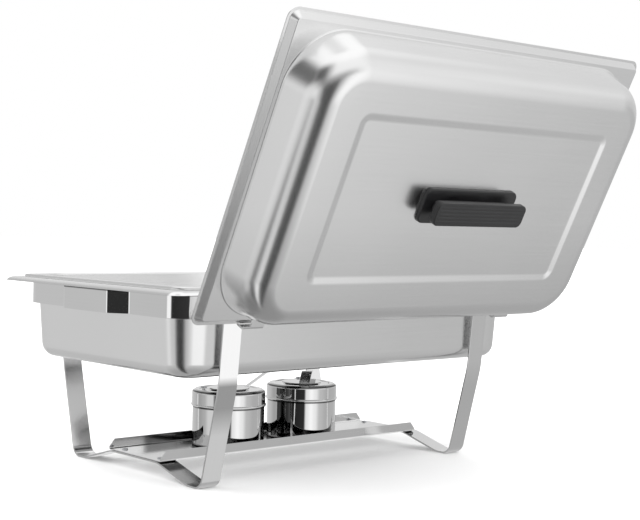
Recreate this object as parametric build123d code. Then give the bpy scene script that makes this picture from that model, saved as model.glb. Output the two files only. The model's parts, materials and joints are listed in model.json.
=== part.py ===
from build123d import *
import math
import os

# Chafing dish: a stand of bent strips holding a water pan and a food pan, with two
# burners on a low shelf and the lid standing open in two hooks.
# Frame: X along the long side, Y across, Z up; the hooks are on the -Y side.
# Origin: centre of the stand, on the table. Left is -X. All sizes in millimetres.

os.makedirs("parts", exist_ok=True)


# ---------------------------------------------------------------- path helpers
def unit(start, end):
    """Unit vector from start towards end."""
    length = math.dist(start, end)
    return (end[0] - start[0]) / length, (end[1] - start[1]) / length


def move(point, direction, distance):
    return point[0] + direction[0] * distance, point[1] + direction[1] * distance


def offset_path(points, distance, closed=False):
    """Path shifted to its left by distance, corner by corner."""
    count = len(points)
    shifted = []
    for i, point in enumerate(points):
        before = unit(points[i - 1], point) if closed or i > 0 else None
        after = unit(point, points[(i + 1) % count]) if closed or i < count - 1 else None
        before, after = before or after, after or before
        normal_1, normal_2 = (-before[1], before[0]), (-after[1], after[0])
        dot = normal_1[0] * normal_2[0] + normal_1[1] * normal_2[1]
        scale = distance / (1 + dot)
        shifted.append(move(move(point, normal_1, scale), normal_2, scale))
    return shifted


def offset_radii(points, radii, distance):
    """Corner radii of the path shifted to its left: smaller on left turns."""
    result = []
    for i, radius in enumerate(radii):
        before, here, after = points[i - 1], points[i], points[(i + 1) % len(points)]
        cross = ((here[0] - before[0]) * (after[1] - here[1])
                 - (here[1] - before[1]) * (after[0] - here[0]))
        turn = 1 if cross > 0 else -1
        result.append(max(0.0, radius - distance * turn) if radius > 0 else 0.0)
    return result


def rounded_path(points, radii, closed=False):
    """Edges of a path in order, with rounded corners; open ends take radius 0."""
    count = len(points)
    corners = []
    for i, (point, radius) in enumerate(zip(points, radii)):
        if radius <= 0:
            corners.append((point, None, point))
            continue
        back = unit(point, points[i - 1])
        ahead = unit(point, points[(i + 1) % count])
        half_angle = math.acos(back[0] * ahead[0] + back[1] * ahead[1]) / 2
        tangent = radius / math.tan(half_angle)
        bisector = unit((0, 0), (back[0] + ahead[0], back[1] + ahead[1]))
        middle = move(point, bisector, radius / math.sin(half_angle) - radius)
        corners.append((move(point, back, tangent), middle, move(point, ahead, tangent)))
    edges = []
    for i, (start, middle, end) in enumerate(corners):
        if middle is not None:
            edges.append(ThreePointArc((*start, 0), (*middle, 0), (*end, 0)))
        if closed or i < count - 1:
            following = corners[(i + 1) % count][0]
            if math.dist(end, following) > 1e-6:
                edges.append(Line((*end, 0), (*following, 0)))
    return edges


def strip_face(points, radii, sheet):
    """Section of a bent strip: points is its right-hand surface, the sheet lies to the left."""
    other = offset_path(points, sheet)
    right_edges = rounded_path(points, radii)
    left_edges = rounded_path(other, offset_radii(points, radii, sheet))
    end_cap = Line((*points[-1], 0), (*other[-1], 0))
    start_cap = Line((*other[0], 0), (*points[0], 0))
    return make_face(Wire(right_edges + [end_cap] + left_edges + [start_cap]))


# --------------------------------------------------------------- solid helpers
def block(length, width, radius, z, height, taper=0.0):
    """Rounded block growing from z by height (negative is down), narrowing by taper."""
    return extrude(Pos(0, 0, z) * RectangleRounded(length, width, radius),
                   amount=height, taper=taper)


def post(x, y, radius, bottom, top):
    return Pos(x, y, (bottom + top) / 2) * Cylinder(radius, top - bottom)


def round_end(solid, radius, top=True):
    """Fillet all edges of the top or bottom face."""
    end = solid.faces().sort_by(Axis.Z)[-1 if top else 0]
    return fillet(end.edges(), radius)


def turned(profile):
    """Solid of revolution about Z from (radius, z) points."""
    return revolve(make_face(Polyline(*[(r, 0, z) for r, z in profile], close=True)), Axis.Z)


def write(shape, node):
    shape.label = node
    export_step(shape, f"parts/{node}.step")


def write_group(shapes, node):
    write(Compound(children=[shape.solid() for shape in shapes]), node)


# ------------------------------------------------------------------------ pans
PAN_SHEET = 1.0

WATER_L, WATER_W, WATER_R = 562.0, 357.0, 14.0     # flange outline and corner radius
WATER_TOP = 217.5
WATER_ROLL, WATER_EDGE = 12.0, 4.5                 # turned-down edge: bend radius, height kept

FOOD_L, FOOD_W, FOOD_R = 530.0, 325.0, 15.0        # 1/1 gastronorm
FOOD_TOP = 220.9
FOOD_GAP = 0.1                                     # food flange above the water flange
FOOD_EDGE_R = 2.0

# outside length, width, corner radius, depth, wall taper in degrees, bottom radius
WATER_TUB = (515.0, 318.0, 36.0, 94.5, 4.0, 27.0)
FOOD_TUB = (507.0, 302.0, 42.0, 65.0, 6.0, 20.0)


def with_tub(flange, top, length, width, radius, depth, taper, bottom_radius):
    """Join a tub to a flange and hollow it out."""
    outer = round_end(block(length, width, radius, top, -depth, taper), bottom_radius, False)
    inner = block(length - 2 * PAN_SHEET, width - 2 * PAN_SHEET, radius - PAN_SHEET,
                  top, -(depth - PAN_SHEET), taper)
    inner = round_end(inner, bottom_radius - PAN_SHEET, False)
    return flange + outer - inner


def rolled_block(inset):
    """Block with a rolled top edge, inset from the outside of the water pan flange."""
    # the roll is cut off WATER_EDGE below the top; left whole it would reach further out
    cut_drop = WATER_ROLL - WATER_EDGE
    grow = WATER_ROLL - math.sqrt(WATER_ROLL ** 2 - cut_drop ** 2) - inset
    depth = WATER_ROLL + 6
    body = block(WATER_L + 2 * grow, WATER_W + 2 * grow, WATER_R + grow,
                 WATER_TOP - depth, depth - inset)
    return round_end(body, WATER_ROLL - inset)


def water_pan():
    keep = Pos(0, 0, WATER_TOP - WATER_EDGE + 10) * Box(700, 500, 20)
    flange = (rolled_block(0) - rolled_block(PAN_SHEET)) & keep
    return with_tub(flange, WATER_TOP, *WATER_TUB)


def food_pan():
    bottom = WATER_TOP + FOOD_GAP
    outer = round_end(block(FOOD_L, FOOD_W, FOOD_R, bottom, FOOD_TOP - bottom), FOOD_EDGE_R)
    bottom = WATER_TOP - 1
    inner = block(FOOD_L - 2 * PAN_SHEET, FOOD_W - 2 * PAN_SHEET, FOOD_R - PAN_SHEET,
                  bottom, FOOD_TOP - PAN_SHEET - bottom)
    inner = round_end(inner, FOOD_EDGE_R - PAN_SHEET)
    return with_tub(outer - inner, FOOD_TOP, *FOOD_TUB)


# ------------------------------------------------- frame band under the flange
BAND_L, BAND_W, BAND_R = 520.0, 325.0, 30.0
BAND_SHEET = 1.5
BAND_BOTTOM, BAND_TOP = 187.0, 212.7
GRIP_OUT = 15.0                                    # how far the grip section bows out
GRIP_HALF_OUT, GRIP_HALF_IN = 45.0, 65.0           # half lengths of its outer and inner ends
GRIP_R = 7.0


def frame_band():
    half_x, half_y = BAND_L / 2, BAND_W / 2
    side = [(half_x, -half_y), (half_x, -GRIP_HALF_IN), (half_x + GRIP_OUT, -GRIP_HALF_OUT),
            (half_x + GRIP_OUT, GRIP_HALF_OUT), (half_x, GRIP_HALF_IN), (half_x, half_y)]
    outside = side + [(-x, -y) for x, y in side]
    radii = [BAND_R, GRIP_R, GRIP_R, GRIP_R, GRIP_R, BAND_R] * 2
    inside = offset_path(outside, BAND_SHEET, True)
    inner_radii = offset_radii(outside, radii, BAND_SHEET)
    ring = (make_face(Wire(rounded_path(outside, radii, True)))
            - make_face(Wire(rounded_path(inside, inner_radii, True))))
    return Pos(0, 0, BAND_BOTTOM) * extrude(ring, amount=BAND_TOP - BAND_BOTTOM)


# --------------------------------------------------- leg strips, shelf, rivets
SHELF_X = -4.0                                     # the tray stands a little to one side
SHELF_L, SHELF_W = 404.0, 105.0
SHELF_TOP = 19.5
SHELF_SHEET = 1.0
SHELF_LIP = 12.0
SHELF_BEND = 2.2
LIP_CUT, LIP_CUT_Z = 7.0, 3.5                      # sloped lip ends: length, start height
SHELF_BOTTOM = SHELF_TOP - SHELF_SHEET

LEG_X_IN, LEG_X_OUT = 182.2, 207.3
LEG_SHEET = 2.0
LEG_Y = BAND_W / 2 + LEG_SHEET                     # outer face against the band
LEG_PAD_Z = SHELF_BOTTOM - LEG_SHEET               # underside of the strip below the shelf
# outer surface of the +Y half, from the band to the shelf: y, z, bend radius
LEG_HALF = [
    (LEG_Y, BAND_TOP, 0),
    (LEG_Y, 181.0, 60.0),
    (157.5, 112.0, 120.0),
    (128.8, 0.0, 15.0),
    (106.0, 0.0, 40.0),
    (47.0, LEG_PAD_Z, 40.0),
]

RIVET_R, RIVET_HEAD_R = 2.0, 3.6
RIVET_SPOTS = [(x, y) for x in (-194.7, 191.5) for y in (-36.0, 36.0)]


def rivet_hole(x, y):
    return post(x, y, RIVET_R, LEG_PAD_Z - 1, SHELF_TOP + 1)


def leg_strip(side):
    """Leg strip on the -X side (-1) or the +X side (1)."""
    walk = [(-y, z, radius) for y, z, radius in LEG_HALF] + LEG_HALF[::-1]
    points = [(y, z) for y, z, _ in walk]
    radii = [radius for _, _, radius in walk]
    section = Plane.YZ * strip_face(points, radii, LEG_SHEET)
    x_start = LEG_X_IN if side > 0 else -LEG_X_OUT
    leg = Pos(x_start, 0, 0) * extrude(section, amount=LEG_X_OUT - LEG_X_IN)
    for x, y in RIVET_SPOTS:
        if x * side > 0:
            leg -= rivet_hole(x, y)
    return leg


def burner_shelf():
    half_x, half_y = SHELF_L / 2, SHELF_W / 2
    lip_top = SHELF_BOTTOM + SHELF_LIP
    points = [(-half_y, lip_top), (-half_y, SHELF_BOTTOM), (half_y, SHELF_BOTTOM),
              (half_y, lip_top)]
    section = strip_face(points, [0, SHELF_BEND, SHELF_BEND, 0], SHELF_SHEET)
    shelf = extrude(Plane.YZ.offset(-half_x) * section, amount=SHELF_L)
    cut_z = SHELF_BOTTOM + LIP_CUT_Z
    for side in (-1, 1):
        wedge = make_face(Polyline(
            (side * (half_x + 1), 0, cut_z), (side * (half_x + 1), 0, lip_top + 1),
            (side * (half_x - LIP_CUT), 0, lip_top + 1), (side * half_x, 0, cut_z), close=True))
        shelf -= extrude(wedge, amount=100, both=True)
    shelf = Pos(SHELF_X, 0, 0) * shelf
    for x, y in RIVET_SPOTS:
        shelf -= rivet_hole(x, y)
    return shelf


def shelf_rivet(x, y):
    body = post(x, y, RIVET_R, LEG_PAD_Z, SHELF_TOP)
    head = round_end(post(x, y, RIVET_HEAD_R, SHELF_TOP, SHELF_TOP + 1.6), 1.4)
    tail = round_end(post(x, y, RIVET_HEAD_R - 0.4, LEG_PAD_Z - 1.2, LEG_PAD_Z), 0.9, False)
    return body + head + tail


# ------------------------------------------------------------------------- lid
# Built closed about its own origin, with the underside of the rim lip at z = 0.
LID_L, LID_W, LID_R = 541.0, 338.0, 12.0
LID_SHEET = 0.9
LID_Y, LID_Z = 0.5, 217.9                          # closed centre in Y, closed lip underside
LIP_SHEET = 1.0
LIP_OUT = 2.5                                      # lip stands proud of the skirt
RIM_H = 8.0                                        # upper face of the rim above the lip
SKIRT_TAPER = 35.0
RIM_EDGE_R = 2.2
DOME_L, DOME_W, DOME_R = 516.0, 312.0, 61.0
DOME_H = 57.0
DOME_TAPER = 12.0
DOME_EDGE_R = 29.0
PANEL = (376.0, 178.0, 9.0)                        # recess: length, width, corner radius
PANEL_DEPTH = 1.5
PANEL_Z = DOME_H - PANEL_DEPTH
REST_Y, REST_Z = -188.8, 184.2                     # the -Y rim corner with the lid open
OPEN_DEG = 115.86
OPEN_COS, OPEN_SIN = math.cos(math.radians(OPEN_DEG)), math.sin(math.radians(OPEN_DEG))

HANDLE_X, HANDLE_Y = 1.8, -1.3
BASE_L, BASE_W, BASE_H, BASE_R = 142.0, 39.5, 4.0, 8.0
WEB_L, WEB_W, WEB_R, WEB_TAPER = 112, 15, 6, 3
WEB_SINK = 2                                       # web starts this far above the panel
HOLD_L, HOLD_W, HOLD_H, HOLD_R = 138.0, 26.0, 8.0, 7
HOLD_TOP = 24.0                                    # top face above the panel
GROOVE_PITCH, GROOVE_W, GROOVE_H = 4.0, 1.2, 1.6
SCREW_XS = [HANDLE_X + side * 42.0 for side in (-1, 1)]
WASHER_H = 1.0
WASHER_Z = PANEL_Z - LID_SHEET - WASHER_H          # washer underside, inside the lid
SCREW_HEAD_H = 3.2


def dome(inset, bottom):
    top = DOME_H - inset
    body = block(DOME_L - 2 * inset, DOME_W - 2 * inset, DOME_R - inset,
                 bottom, top - bottom, DOME_TAPER)
    return round_end(body, DOME_EDGE_R - inset)


def lid_shell():
    lip = block(LID_L, LID_W, LID_R, 0, LIP_SHEET)
    length, width, radius = LID_L - 2 * LIP_OUT, LID_W - 2 * LIP_OUT, LID_R - LIP_OUT
    skirt = round_end(block(length, width, radius, 0, RIM_H, SKIRT_TAPER), RIM_EDGE_R)
    # the sheet is measured square to the lean; the cavity starts 1 mm below the lip,
    # where the leaning wall lies further out
    taper = math.radians(SKIRT_TAPER)
    inset = LID_SHEET / math.cos(taper) - math.tan(taper)
    cavity = block(length - 2 * inset, width - 2 * inset, radius - inset,
                   -1, RIM_H - LID_SHEET + 1, SKIRT_TAPER)
    cavity = round_end(cavity, RIM_EDGE_R - LID_SHEET)
    dome_out = dome(0, RIM_H - 0.5)
    dome_in = dome(LID_SHEET, RIM_H - 2.0)
    recess = block(*PANEL, PANEL_Z, 4, -40)
    boss = block(*PANEL, PANEL_Z - LID_SHEET, 4, -40)
    lid = (lip + skirt - cavity) + (dome_out - recess) - (dome_in - boss)
    for x in SCREW_XS:
        lid -= post(x, HANDLE_Y, 2.75, PANEL_Z - 5, PANEL_Z + 5)
    return lid


def lid_handle():
    """Base plate, web and grip in one moulding."""
    spot = Pos(HANDLE_X, HANDLE_Y, 0)
    base = round_end(spot * block(BASE_L, BASE_W, BASE_R, PANEL_Z, BASE_H), 1.5)
    web = spot * block(WEB_L, WEB_W, WEB_R, PANEL_Z + WEB_SINK,
                       HOLD_TOP - WEB_SINK - HOLD_H / 2, WEB_TAPER)
    top = PANEL_Z + HOLD_TOP
    grip = spot * block(HOLD_L, HOLD_W, HOLD_R, top - HOLD_H, HOLD_H)
    grip = round_end(grip, 2.5)
    grip = round_end(grip, 2.0, False)
    for i in range(-2, 3):
        groove = Box(HOLD_L - 22, GROOVE_W, GROOVE_H)
        grip -= Pos(HANDLE_X, HANDLE_Y + i * GROOVE_PITCH, top) * groove
    handle = base + web + grip
    for x in SCREW_XS:
        handle -= post(x, HANDLE_Y, 2.5, PANEL_Z, PANEL_Z + 14)
    return handle


def handle_washer(x):
    return (post(x, HANDLE_Y, 6.0, WASHER_Z, WASHER_Z + WASHER_H)
            - post(x, HANDLE_Y, 2.7, WASHER_Z - 0.5, WASHER_Z + 1.5))


def handle_screw(x):
    """Cross-slotted screw, head down inside the lid."""
    shank = post(x, HANDLE_Y, 2.4, WASHER_Z, WASHER_Z + 13.0)
    head_z = WASHER_Z - SCREW_HEAD_H
    head = round_end(post(x, HANDLE_Y, 4.6, head_z, WASHER_Z), 1.8, False)
    head -= Pos(x, HANDLE_Y, head_z) * Box(6.0, 1.1, 2.0)
    head -= Pos(x, HANDLE_Y, head_z) * Box(1.1, 6.0, 2.0)
    return shank + head


def swing_axis():
    """Line about which the closed rim corner turns to its rest point."""
    corner_y, corner_z = LID_Y - LID_W / 2, LID_Z
    shift_y = REST_Y - (OPEN_COS * corner_y - OPEN_SIN * corner_z)
    shift_z = REST_Z - (OPEN_SIN * corner_y + OPEN_COS * corner_z)
    rest = 1 - OPEN_COS
    hinge_y = (rest * shift_y - OPEN_SIN * shift_z) / (2 * rest)
    hinge_z = (OPEN_SIN * shift_y + rest * shift_z) / (2 * rest)
    return Axis((0, hinge_y, hinge_z), (1, 0, 0))


def opened(shape):
    return (Pos(0, LID_Y, LID_Z) * shape).rotate(swing_axis(), OPEN_DEG)


# ------------------------------------------------------------------- lid hooks
HOOK_X_IN, HOOK_X_OUT = 181.5, LEG_X_OUT
HOOK_SHEET = 2.0
FINGER_W = 17.0
FINGER_H, LOW_H = 10.5, 1.6                        # outer wall up the lid: finger, remainder
LEDGE_Z = 205.0
SLOT_DEPTH = 0.8                                   # slot floor below the rim corner
SLOT_W = RIM_H + 0.6
RISER_GAP = 0.9
HOOK_RADII = [0, 3.5, 8.0, 1.6, 1.6, 0]


def lid_hook(side):
    """Hook on the -X side (-1) or +X side (1), its finger at the end nearer the middle."""
    out_of_lid = (-OPEN_SIN, OPEN_COS)             # towards the dome side of the open lid
    up_lid = (OPEN_COS, OPEN_SIN)
    floor_in = move((REST_Y, REST_Z), up_lid, -SLOT_DEPTH)
    slot_out = move((REST_Y, REST_Z), out_of_lid, SLOT_W)
    riser_y = REST_Y + RISER_GAP
    # where the riser face meets the slot floor
    floor_meet = move(floor_in, out_of_lid, (riser_y - floor_in[0]) / out_of_lid[0])
    # surface that faces the lid, walked from the leg outwards
    walk = [(-LEG_Y, BAND_BOTTOM + 3), (-LEG_Y, LEDGE_Z), (riser_y, LEDGE_Z), floor_meet,
            move(slot_out, up_lid, -SLOT_DEPTH)]

    def piece(wall_height, width, x_start):
        points = walk + [move(slot_out, up_lid, wall_height)]
        section = Plane.YZ * strip_face(points, HOOK_RADII, HOOK_SHEET)
        return Pos(x_start, 0, 0) * extrude(section, amount=width)

    body_x = HOOK_X_IN if side > 0 else -HOOK_X_OUT
    finger_x = HOOK_X_IN if side > 0 else -HOOK_X_IN - FINGER_W
    return (piece(LOW_H, HOOK_X_OUT - HOOK_X_IN, body_x)
            + piece(FINGER_H, FINGER_W, finger_x))


# --------------------------------------------------------------------- burners
# name, x, bearing of the cover's lever in degrees from +X
BURNERS = (("left", -71.1, -24.7), ("right", 45.5, -123.5))
CUP_R, CUP_BOTTOM, CUP_TOP = 43.5, SHELF_TOP + 0.2, 68.0
CUP_WALL, CUP_FLOOR = 0.8, 0.9
CAP_R, CAP_TOP = 44.4, 87.0
PLATE_TOP, PLATE_BOTTOM = CAP_TOP - 0.8, CAP_TOP - 1.8   # sunken plate around the hole
BEAD_R, BEAD_Z, BEAD_HALF = 45.5, 68.3, 1.7
HOLE_R = 21.0
TIN_R, TIN_BOTTOM, TIN_TOP, TIN_MOUTH_R = 39.0, CUP_BOTTOM + 1.0, 62.0, 25.0
TIN_SHEET = 0.5
GEL_TOP, GEL_GAP = 54.0, 0.1
PIVOT_R, PIN_R = 31.0, 1.5                         # pivot from the burner axis; pin radius
DISC_R, COVER_SHEET = 25.0, 1.2
DISC_Z = CAP_TOP + 0.1
DISC_TOP = DISC_Z + COVER_SHEET
LUG_W = 11.0
LEVER_W = 13.0
# underside of the lever: distance from the disc centre, height, bend radius
LEVER = ((8.0, 0.0, 0), (21.0, 0.0, 4.0), (47.0, 18.5, 8.0), (56.0, 20.0, 0))


def burner_cup():
    return turned([
        (0, CUP_BOTTOM), (CUP_R - 3.0, CUP_BOTTOM), (CUP_R, CUP_BOTTOM + 3.0),
        (CUP_R, CUP_TOP), (CUP_R - CUP_WALL, CUP_TOP), (CUP_R - CUP_WALL, CUP_BOTTOM + 3.2),
        (CUP_R - 3.2, CUP_BOTTOM + CUP_FLOOR), (0, CUP_BOTTOM + CUP_FLOOR)])


def burner_cap(pivot):
    cap = turned([
        (HOLE_R, PLATE_BOTTOM), (HOLE_R, PLATE_TOP), (33.5, PLATE_TOP), (35.0, CAP_TOP),
        (40.2, CAP_TOP), (42.8, CAP_TOP - 1.0), (CAP_R, CAP_TOP - 3.4),
        (CAP_R, BEAD_Z + 1.0), (BEAD_R - 0.2, BEAD_Z + 0.9), (BEAD_R, BEAD_Z),
        (BEAD_R - 0.2, BEAD_Z - 0.9), (CAP_R + 0.1, BEAD_Z - BEAD_HALF),
        (CAP_R - 0.6, BEAD_Z - BEAD_HALF), (CAP_R - 0.8, BEAD_Z),
        (CAP_R - 0.8, CAP_TOP - 3.8), (42.3, CAP_TOP - 1.8), (40.0, CAP_TOP - 0.9),
        (35.4, CAP_TOP - 0.9), (33.8, PLATE_BOTTOM)])
    return cap - post(*pivot, PIN_R, CAP_TOP - 2.8, CAP_TOP + 0.2)


def fuel_tin():
    inside = TIN_R - TIN_SHEET
    return turned([
        (0, TIN_BOTTOM), (TIN_R, TIN_BOTTOM), (TIN_R, TIN_TOP), (TIN_MOUTH_R, TIN_TOP),
        (TIN_MOUTH_R, TIN_TOP - TIN_SHEET), (inside, TIN_TOP - TIN_SHEET),
        (inside, TIN_BOTTOM + TIN_SHEET), (0, TIN_BOTTOM + TIN_SHEET)])


def fuel_gel():
    inset = TIN_SHEET + GEL_GAP
    return post(0, 0, TIN_R - inset, TIN_BOTTOM + inset, GEL_TOP)


def cover_rivet(pivot):
    head_z = DISC_TOP + 0.1
    pin = post(*pivot, PIN_R, PLATE_BOTTOM - 0.025, DISC_TOP + 0.025)
    shoulder = post(*pivot, 2.0, PLATE_TOP, head_z)
    head = round_end(post(*pivot, 3.8, head_z, head_z + 1.4), 1.0)
    tail = post(*pivot, 3.0, PLATE_BOTTOM - 1.0, PLATE_BOTTOM)
    return pin + shoulder + head + tail


def burner_cover(bearing):
    """Disc, pivot lug and bent lever in one sheet, drawn along +X and then turned."""
    disc = extrude(Circle(DISC_R), amount=COVER_SHEET)
    lug = extrude(Pos(-PIVOT_R / 2, 0, 0) * Rectangle(PIVOT_R, LUG_W)
                  + Pos(-PIVOT_R, 0, 0) * Circle(LUG_W / 2), amount=COVER_SHEET)
    section = strip_face([(x, z) for x, z, _ in LEVER], [r for _, _, r in LEVER], COVER_SHEET)
    lever = Pos(0, LEVER_W / 2, 0) * extrude(Plane.XZ * section, amount=LEVER_W)
    hole = post(-PIVOT_R, 0, 2.06, -3, 3)
    return Pos(0, 0, DISC_Z) * Rot(0, 0, bearing) * (disc + lug + lever - hole)


def write_burner(name, x, bearing):
    angle = math.radians(bearing)
    pivot = (-PIVOT_R * math.cos(angle), -PIVOT_R * math.sin(angle))
    pieces = {
        "burner_cup": burner_cup(),
        "burner_lid": burner_cap(pivot),
        "fuel_tin": fuel_tin(),
        "fuel_gel": fuel_gel(),
        "cover_rivet": cover_rivet(pivot),
        "burner_cover": burner_cover(bearing),
    }
    for node, shape in pieces.items():
        write(Pos(x, 0, 0) * shape, f"{name}_{node}")


# ----------------------------------------------------------------------- files
write(water_pan(), "water_pan")
write(food_pan(), "food_pan")
write(frame_band(), "frame_band")
for side_name, side in (("left", -1), ("right", 1)):
    write(leg_strip(side), f"{side_name}_leg_strip")
    write(lid_hook(side), f"{side_name}_lid_hook")
write(burner_shelf(), "burner_shelf")
write_group([shelf_rivet(x, y) for x, y in RIVET_SPOTS], "shelf_rivets")
write(opened(lid_shell()), "lid_shell")
write(opened(lid_handle()), "lid_handle")
write_group([opened(handle_screw(x)) for x in SCREW_XS], "handle_screws")
write_group([opened(handle_washer(x)) for x in SCREW_XS], "handle_washers")
for burner in BURNERS:
    write_burner(*burner)
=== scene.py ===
"""A chafing dish on a strip-steel stand, its lid swung open.

X runs along the dish, with left at -X, and Z is up from the floor. The lid's hinge line is
parallel to X; opening lifts the lid's +Y side until it leans over the dish's -Y side. A water
pan holds a food pan, and two fuel burners stand on a shelf below. Sizes are in mm unless noted.
"""
import json
import math
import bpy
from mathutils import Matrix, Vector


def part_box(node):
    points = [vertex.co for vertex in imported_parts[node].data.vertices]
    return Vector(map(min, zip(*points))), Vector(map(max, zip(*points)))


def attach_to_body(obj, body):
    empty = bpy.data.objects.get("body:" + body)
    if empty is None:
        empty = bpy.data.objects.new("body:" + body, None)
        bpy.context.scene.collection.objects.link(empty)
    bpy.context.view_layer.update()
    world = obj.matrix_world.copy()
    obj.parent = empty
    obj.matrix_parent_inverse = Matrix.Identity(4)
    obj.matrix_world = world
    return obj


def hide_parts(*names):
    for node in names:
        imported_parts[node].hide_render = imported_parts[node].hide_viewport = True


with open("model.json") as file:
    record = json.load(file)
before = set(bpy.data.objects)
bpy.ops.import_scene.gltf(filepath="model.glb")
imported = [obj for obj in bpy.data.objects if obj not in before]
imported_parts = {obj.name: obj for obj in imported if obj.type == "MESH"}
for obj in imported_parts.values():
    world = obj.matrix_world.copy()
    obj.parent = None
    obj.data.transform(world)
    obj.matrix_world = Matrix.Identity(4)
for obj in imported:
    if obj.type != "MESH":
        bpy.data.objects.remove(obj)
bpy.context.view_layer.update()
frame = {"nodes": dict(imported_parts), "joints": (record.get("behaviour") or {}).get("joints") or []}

from types import SimpleNamespace

import bmesh
import bpy
from mathutils import Matrix, Vector

MM = 0.001
scene = bpy.context.scene
nodes = frame["nodes"]


# ------------------------------------------------------------------ sizes
def span(node, axis):
    """Lowest and highest place of a CAD node along one axis."""
    return [getattr(corner, axis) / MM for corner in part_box(node)]


# outlines are (length, width, corner radius)
PAN_T = 1.0
WATER_TOP = span("water_pan", "z")[1]
WATER_RIM = (562.0, 357.0, 14.0)
WATER_BODY = (515.0, 318.0, 36.0)
WATER_DEPTH, WATER_TAPER, WATER_BOTTOM_R = 94.5, 4.0, 27.0
ROLL_R, ROLL_DROP = 12.0, 4.5           # the water pan's rolled edge

FOOD_TOP = span("food_pan", "z")[1]
FOOD_RIM = (530.0, 325.0, 15.0)
FOOD_BODY = (507.0, 302.0, 42.0)
FOOD_DEPTH, FOOD_TAPER, FOOD_BOTTOM_R = 65.0, 6.0, 20.0
FOOD_GAP = 0.1                          # from the water pan's top to the food pan's edge

BAND_Z0, BAND_Z1 = span("frame_band", "z")
BAND_L, BAND_W, BAND_R, BAND_T = 520.0, 325.0, 30.0, 1.5
GRIP_OUT, GRIP_HALF_OUT, GRIP_HALF_IN, GRIP_R = 15.0, 45.0, 65.0, 7.0   # bulge at each end

LEG_X = {side: span(f"{side}_leg_strip", "x") for side in ("left", "right")}
LEG_T = 2.0
SHELF_X0, SHELF_X1 = span("burner_shelf", "x")
SHELF_Y0, SHELF_Y1 = span("burner_shelf", "y")
SHELF_Z0, SHELF_Z1 = span("burner_shelf", "z")
SHELF_T = 1.0
SHELF_FOLD_R = 2.2
SHELF_CUT_H, SHELF_CUT = 3.5, 7.0       # where the flanges' end cuts start, and their length

LID = (541.0, 338.0, 12.0)
LID_T, LIP_W, FLANGE_H, SKIRT_TAPER = 0.9, 2.5, 8.0, 35.0
LIP_T = 1.0
DOME = (516.0, 312.0, 61.0)             # measured DOME_BASE above the lip
DOME_BASE = FLANGE_H - 0.5
DOME_H, DOME_TAPER, DOME_TOP_R = 57.0, 12.0, 29.0
PANEL = (376.0, 178.0, 9.0)             # pressed step in the dome's top
PANEL_DROP, PANEL_STEP, PANEL_R = 1.5, 7.0, 14.0
LID_STEPS = 16
LID_Y, LID_Z = 0.5, 217.9
OPEN_DEG = 115.86

HANDLE_X, HANDLE_Y = 1.8, -1.3
HANDLE_H = 24.0
HANDLE_BASE = (142.0, 39.5, 8.0)
HANDLE_WEB = (112.0, 15.0, 6.0)
HANDLE_GRIP = (138.0, 26.0, 7.0)
GRIP_EDGE = 2.6                         # inset of the grip's ribbed top

BURNER_X = {"left": -71.1, "right": 45.5}
CUP_R, CUP_Z0, CUP_Z1 = 43.5, 19.7, 68.0
CUP_WALL, CUP_FLOOR = 0.8, 0.9
CAP_R, CAP_TOP, CAP_T = 44.4, 87.0, 0.9
CAP_DISH = 0.8                          # drop of the cap's middle below its crown
BEAD_Z = 68.3
HOLE_R = 21.0
LATHE_STEPS = 112


# ------------------------------------------------------------------ outlines
def ring(size, grow=0.0, steps=12):
    """Rounded rectangle grown by grow, anticlockwise, always the same count of points."""
    length, width = size[0] + 2 * grow, size[1] + 2 * grow
    radius = max(size[2] + grow, 0.4)
    centre_x, centre_y = length / 2 - radius, width / 2 - radius
    points = []
    for quarter, (sx, sy) in enumerate(((1, 1), (-1, 1), (-1, -1), (1, -1))):
        for k in range(steps + 1):
            angle = math.radians(90 * quarter + 90 * k / steps)
            points.append((sx * centre_x + radius * math.cos(angle),
                           sy * centre_y + radius * math.sin(angle)))
    return points


def rings_of(size, profile, steps=12, centre=(0.0, 0.0)):
    """One ring of (x, y, z) for each (growth, z) of the profile."""
    return [[(x + centre[0], y + centre[1], z) for x, y in ring(size, grow, steps)]
            for grow, z in profile]


def shrink(size, wall):
    return (size[0] - 2 * wall, size[1] - 2 * wall, size[2] - wall)


def unit(start, end):
    length = math.dist(start, end)
    return (end[0] - start[0]) / length, (end[1] - start[1]) / length


def corner_arc(before, corner, after, radius, fit):
    """Centre, radius, start angle and sweep of a rounded corner; None where nearly straight.

    fit shrinks the radius so that the arc takes less than half of either side.
    """
    back, ahead = unit(corner, before), unit(corner, after)
    half = math.acos(max(-1, min(1, back[0] * ahead[0] + back[1] * ahead[1]))) / 2
    if half > math.radians(89.5):
        return None
    tangent = radius / math.tan(half)
    if fit:
        tangent = min(tangent, 0.49 * math.dist(before, corner), 0.49 * math.dist(corner, after))
        radius = tangent * math.tan(half)
    reach = radius / math.sin(half)
    bx, by = back[0] + ahead[0], back[1] + ahead[1]
    length = math.hypot(bx, by)
    cx, cy = corner[0] + bx / length * reach, corner[1] + by / length * reach
    start, end = (math.atan2(corner[1] + side[1] * tangent - cy, corner[0] + side[0] * tangent - cx)
                  for side in (back, ahead))
    sweep = (end - start + math.pi) % (2 * math.pi) - math.pi
    return (cx, cy), radius, start, sweep


def arc_points(centre, radius, start, sweep, steps):
    angles = [start + sweep * k / steps for k in range(steps + 1)]
    return [(centre[0] + radius * math.cos(a), centre[1] + radius * math.sin(a)) for a in angles]


def soft(points, radii, steps):
    """Polyline with its inner corners rounded, as points."""
    out = []
    for i, point in enumerate(points):
        arc = None
        if radii[i] > 0 and 0 < i < len(points) - 1:
            arc = corner_arc(points[i - 1], point, points[i + 1], radii[i], fit=True)
        out += arc_points(*arc, steps) if arc else [tuple(point)]
    return out


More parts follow.
